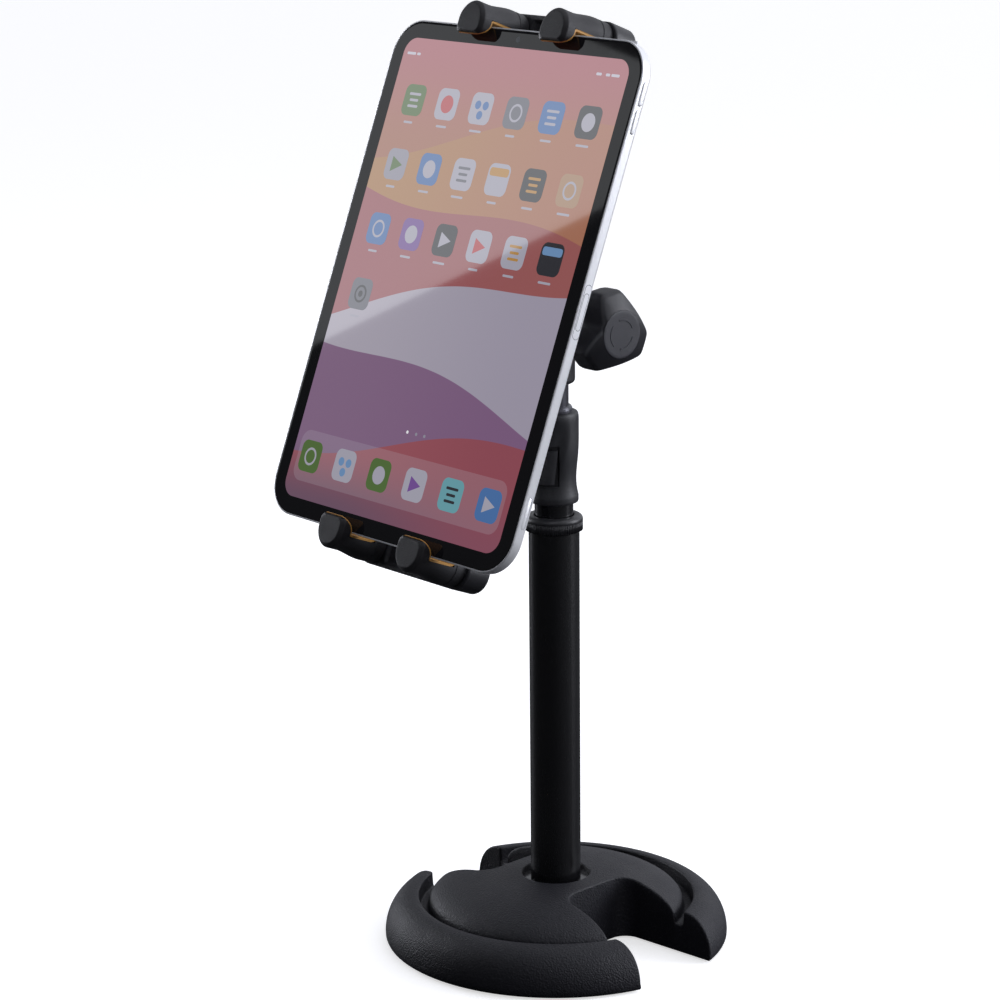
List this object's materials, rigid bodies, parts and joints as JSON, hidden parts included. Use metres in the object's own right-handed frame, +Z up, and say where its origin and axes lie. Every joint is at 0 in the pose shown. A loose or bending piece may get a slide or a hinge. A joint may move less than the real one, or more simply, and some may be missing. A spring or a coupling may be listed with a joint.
{
  "type": "desk teleprompter stand",
  "caption": "Low desk stand with a notched round iron foot, sliding pole with squeeze grip, tilting clamp head and spring-jaw holder carrying a tablet as the reading screen.",
  "frame": {"origin": "middle of the foot's flat underside, on the pole's axis", "axes": "+Z up the pole; +X to the reader's right across the screen; -Y towards the reader"},
  "size_m": [0.1788, 0.2044, 0.4663],
  "materials": {
    "powder_iron": "black powder coat with a fine pebble grain",
    "rubber": "matt",
    "steel": "zinc plated",
    "trim_gloss": "gloss black",
    "pole_black": "satin black powder coat",
    "neck_gloss": "gloss black",
    "nylon": "natural nylon",
    "collar_plastic": "satin, knurled",
    "grip_soft": "satin soft touch",
    "black_metal": "satin black",
    "brake_lining": "pressed lining",
    "holder_plastic": "fine satin grain",
    "knob_plastic": "satin",
    "cap_plastic": "smooth satin",
    "brass": "turned",
    "hook_rubber": "matt",
    "liner_amber": "amber, satin",
    "tablet_metal": "silver anodised",
    "tablet_glass": "black glass, polished",
    "display": "lit picture",
    "battery": "wrapped",
    "board": "solder mask",
    "lens": "polished"
  },
  "bodies": {
    "stand": {"base_casting": "powder_iron", "base_pad": "rubber", "foot_plug": "steel", "foot_bolt": "steel", "trim_ring": "trim_gloss", "outer_tube": "pole_black", "tube_ferrule": "steel", "guide_bush": "nylon"},
    "collar": {"clutch_collar": "collar_plastic"},
    "mast": {"inner_tube": "neck_gloss", "grip_body": "grip_soft", "stem": "black_metal", "stem_washer": "black_metal", "lock_body": "nylon", "lock_shoes": "brake_lining", "trigger_pin": "steel", "rod_spring": "steel"},
    "lever": {"trigger": "grip_soft"},
    "pull_rod": {"lock_rod": "steel"},
    "head": {"hub_fork": "holder_plastic", "tilt_bolt": "steel", "knob_spacer": "black_metal", "friction_washers": "nylon"},
    "knob": {"tilt_knob": "knob_plastic", "knob_insert": "brass", "knob_cap": "cap_plastic"},
    "tilt_arm": {"tilt_block": "holder_plastic", "roll_retainer": "steel"},
    "cradle": {"cradle_rear": "holder_plastic", "cradle_front": "holder_plastic", "rail_keeper": "steel", "back_pad": "rubber", "cradle_screws": "steel", "jaw_spring": "steel"},
    "pinion": {"jaw_pinion": "nylon"},
    "upper_jaw": {"upper_rail": "black_metal", "upper_crossbar": "holder_plastic", "upper_hook_left": "hook_rubber", "upper_hook_right": "hook_rubber", "upper_liner_left": "liner_amber", "upper_liner_right": "liner_amber", "upper_hook_screws": "steel"},
    "lower_jaw": {"lower_rail": "black_metal", "lower_crossbar": "holder_plastic", "lower_hook_left": "hook_rubber", "lower_hook_right": "hook_rubber", "lower_liner_left": "liner_amber", "lower_liner_right": "liner_amber", "lower_hook_screws": "steel"},
    "tablet": {"tablet_shell": "tablet_metal", "tablet_glass": "tablet_glass", "display_panel": "display", "tablet_battery": "battery", "tablet_board": "board", "rear_camera": "lens"},
    "volume_up_key": {"volume_up": "tablet_metal"},
    "volume_down_key": {"volume_down": "tablet_metal"},
    "power_key": {"power_button": "tablet_metal"},
    "card_tray": {"sim_tray": "tablet_metal"}
  },
  "joints": [
    {"name": "collar_turn", "type": "hinge", "parent": "stand", "child": "collar", "pos_m": [0, 0, 0.214], "axis": [0, 0, 1], "range_deg": [0, 90]},
    {"name": "mast_slide", "type": "slide", "parent": "stand", "child": "mast", "axis": [0, 0, 1], "range_m": [0, 0.13]},
    {"name": "lever_squeeze", "type": "hinge", "parent": "mast", "child": "lever", "pos_m": [0, -0.012, 0.258], "axis": [1, 0, 0], "range_deg": [0, 6]},
    {"name": "rod_lift", "type": "slide", "parent": "mast", "child": "pull_rod", "axis": [0, 0, 1], "range_m": [0, 0.00085], "stiffness_N_per_m": 300, "springref_m": -0.005, "deforming": ["rod_spring"]},
    {"name": "head_pan", "type": "hinge", "parent": "mast", "child": "head", "pos_m": [0, 0, 0.29], "axis": [0, 0, 1], "range_deg": [-170, 170]},
    {"name": "arm_tilt", "type": "hinge", "parent": "head", "child": "tilt_arm", "pos_m": [0, 0, 0.3143], "axis": [1, 0, 0], "range_deg": [-50, 25]},
    {"name": "knob_turn", "type": "hinge", "parent": "head", "child": "knob", "pos_m": [0.035, 0, 0.3143], "axis": [1, 0, 0], "range_deg": [0, 180]},
    {"name": "cradle_roll", "type": "hinge", "parent": "tilt_arm", "child": "cradle", "pos_m": [0, -0.02518, 0.32404], "axis": [0, -0.9327, 0.3606], "range_deg": [-90, 90]},
    {"name": "upper_jaw_slide", "type": "slide", "parent": "cradle", "child": "upper_jaw", "axis": [0, 0.3606, 0.9327], "range_m": [0, 0.02], "stiffness_N_per_m": 300, "springref_m": -0.03},
    {"name": "lower_jaw_slide", "type": "slide", "parent": "cradle", "child": "lower_jaw", "axis": [0, -0.3606, -0.9327], "range_m": [0, 0.02]},
    {"name": "pinion_turn", "type": "hinge", "parent": "cradle", "child": "pinion", "pos_m": [0, -0.03573, 0.32865], "axis": [0, -0.9327, 0.3606], "range_deg": [0, 191.2]},
    {"name": "tablet_slide", "type": "slide", "parent": "cradle", "child": "tablet", "axis": [1, 0, 0], "range_m": [0, 0.18]},
    {"name": "volume_up_press", "type": "slide", "parent": "tablet", "child": "volume_up_key", "axis": [-1, 0, 0], "range_m": [0, 0.0003], "stiffness_N_per_m": 20, "springref_m": -0.001},
    {"name": "volume_down_press", "type": "slide", "parent": "tablet", "child": "volume_down_key", "axis": [-1, 0, 0], "range_m": [0, 0.0003], "stiffness_N_per_m": 20, "springref_m": -0.001},
    {"name": "power_press", "type": "slide", "parent": "tablet", "child": "power_key", "axis": [0, -0.3606, -0.9327], "range_m": [0, 0.0003], "stiffness_N_per_m": 20, "springref_m": -0.001},
    {"name": "card_tray_slide", "type": "slide", "parent": "tablet", "child": "card_tray", "axis": [1, 0, 0], "range_m": [0, 0.016]}
  ],
  "couplings": [
    {"joint": "lever_squeeze", "follows": "rod_lift", "rad_per_m": 121.95},
    {"joint": "lower_jaw_slide", "follows": "upper_jaw_slide", "ratio": 1},
    {"joint": "pinion_turn", "follows": "upper_jaw_slide", "rad_per_m": 166.67}
  ]
}
